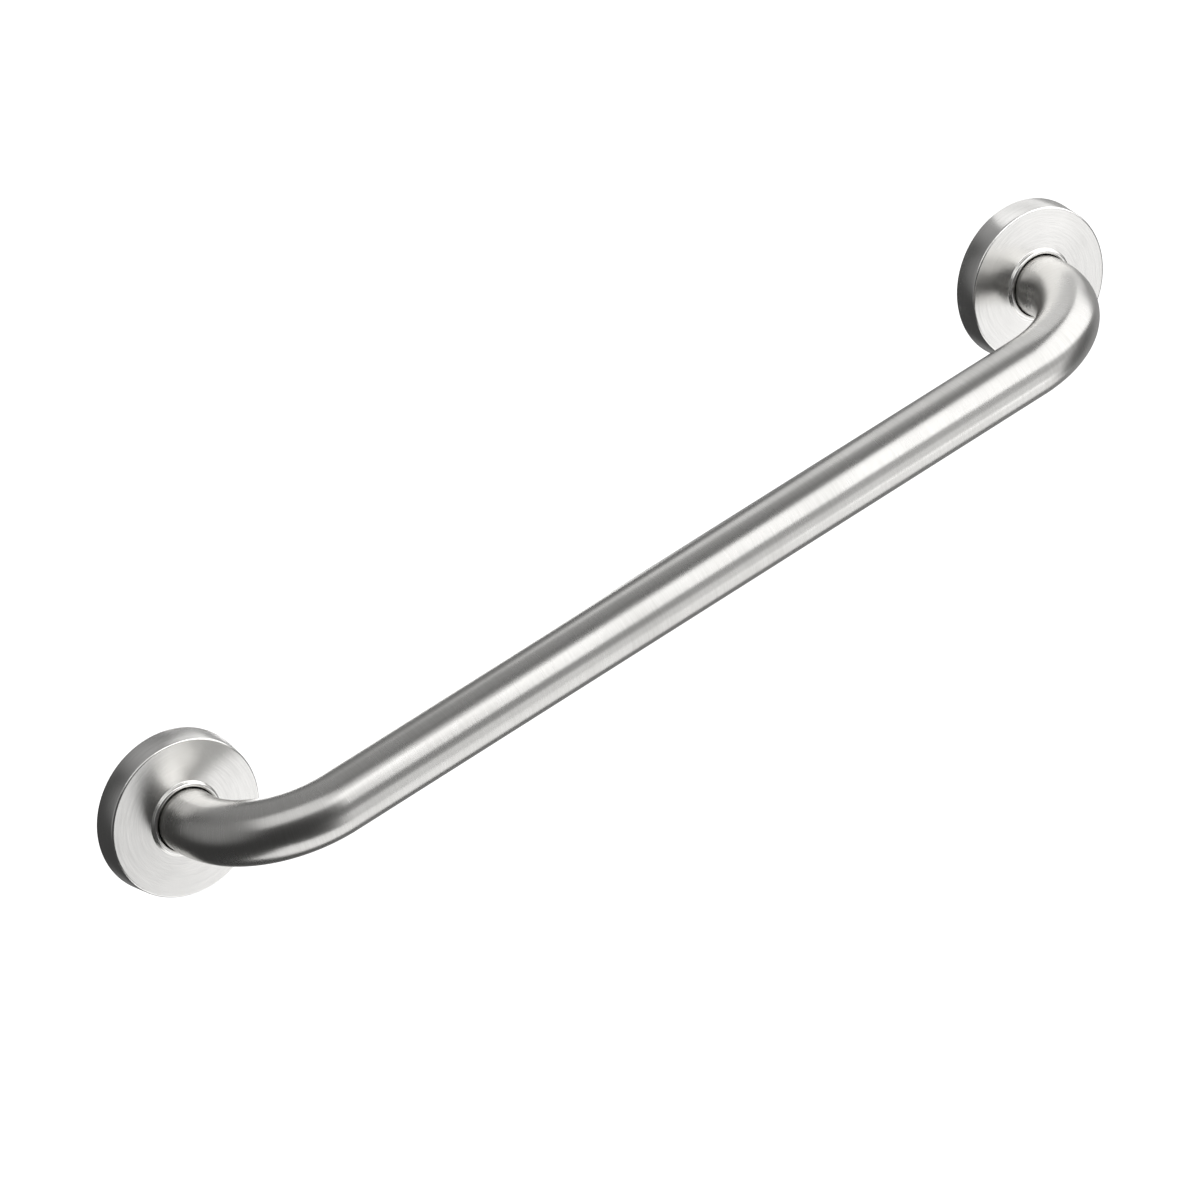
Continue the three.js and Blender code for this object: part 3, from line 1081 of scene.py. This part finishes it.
def towards(azimuth, elevation):
    a, e = math.radians(azimuth), math.radians(elevation)
    return Vector((math.sin(a) * math.cos(e), -math.cos(a) * math.cos(e), math.sin(e)))


def softLight(name, azimuth, elevation, distance, width, height, lean, brightness):
    data = bpy.data.lights.new(name, "AREA")
    data.shape, data.size, data.size_y = "RECTANGLE", width, height
    data.energy = brightness * math.pi * width * height
    obj = bpy.data.objects.new(name, data)
    bpy.context.scene.collection.objects.link(obj)
    way = towards(azimuth, elevation)
    turn = way.to_track_quat("Z", "Y").to_matrix().to_4x4() @ Matrix.Rotation(math.radians(lean), 4, "Z")
    middle = (cadLow + cadHigh) / 2
    obj.matrix_world = Matrix.Translation(middle + way * distance) @ turn
    obj.visible_camera = False


def roomLight():
    world = bpy.data.worlds.new("studioRoom")
    bpy.context.scene.world = world
    world.use_nodes = True
    tree = world.node_tree
    tree.nodes.clear()
    ray = addNode(tree, "ShaderNodeTexCoord").outputs["Generated"]
    total = None
    for key, value in room.items():
        if key == "base":
            continue
        azimuth, elevation, halfWidth, brightness = value
        way = towards(azimuth, elevation)
        aligned = addNode(
            tree, "ShaderNodeVectorMath", {"operation": "DOT_PRODUCT", 1: way}, {0: ray}
        ).outputs["Value"]
        settings = {
            "interpolation_type": "SMOOTHSTEP",
            "From Min": math.cos(math.radians(halfWidth)),
            "From Max": 1.0,
            "To Min": 0.0 if total else room["base"],
            "To Max": brightness + (0.0 if total else room["base"]),
        }
        lobe = addNode(tree, "ShaderNodeMapRange", settings, {"Value": aligned}).outputs[0]
        if total:
            lobe = addNode(tree, "ShaderNodeMath", {"operation": "ADD"}, {0: lobe, 1: total}).outputs[0]
        total = lobe
    seen = addNode(tree, "ShaderNodeLightPath").outputs["Is Camera Ray"]
    shown = addNode(tree, "ShaderNodeMix", {"data_type": "FLOAT", 3: 1.0}, {0: seen, 2: total}).outputs[0]
    back = addNode(tree, "ShaderNodeBackground", {"Color": (1, 1, 1, 1)}, {"Strength": shown}).outputs[0]
    addNode(tree, "ShaderNodeOutputWorld", links={"Surface": back})


def paleFloor():
    made, tree, shader = material("paleFloor")
    shader.inputs["Base Color"].default_value = linear(floor["colour"])
    shader.inputs["Roughness"].default_value = 0.9
    shader.inputs["Emission Color"].default_value = (1, 1, 1, 1)
    shader.inputs["Emission Strength"].default_value = floor["glow"]
    reach, level = floor["halfSize"], cadLow.z - floor["drop"]
    corners = [(x * reach, y * reach, level) for x, y in ((-1, -1), (1, -1), (1, 1), (-1, 1))]
    obj = meshObject("paleFloor", corners, [(0, 1, 2, 3)])
    obj.data.materials.append(made)
    obj.visible_glossy = obj.visible_diffuse = False  # it is for the eye, and the cards light the steel


for name, values in studio.items():
    softLight(name, *values)
roomLight()
paleFloor()
bpy.context.scene.view_settings.view_transform = "Standard"
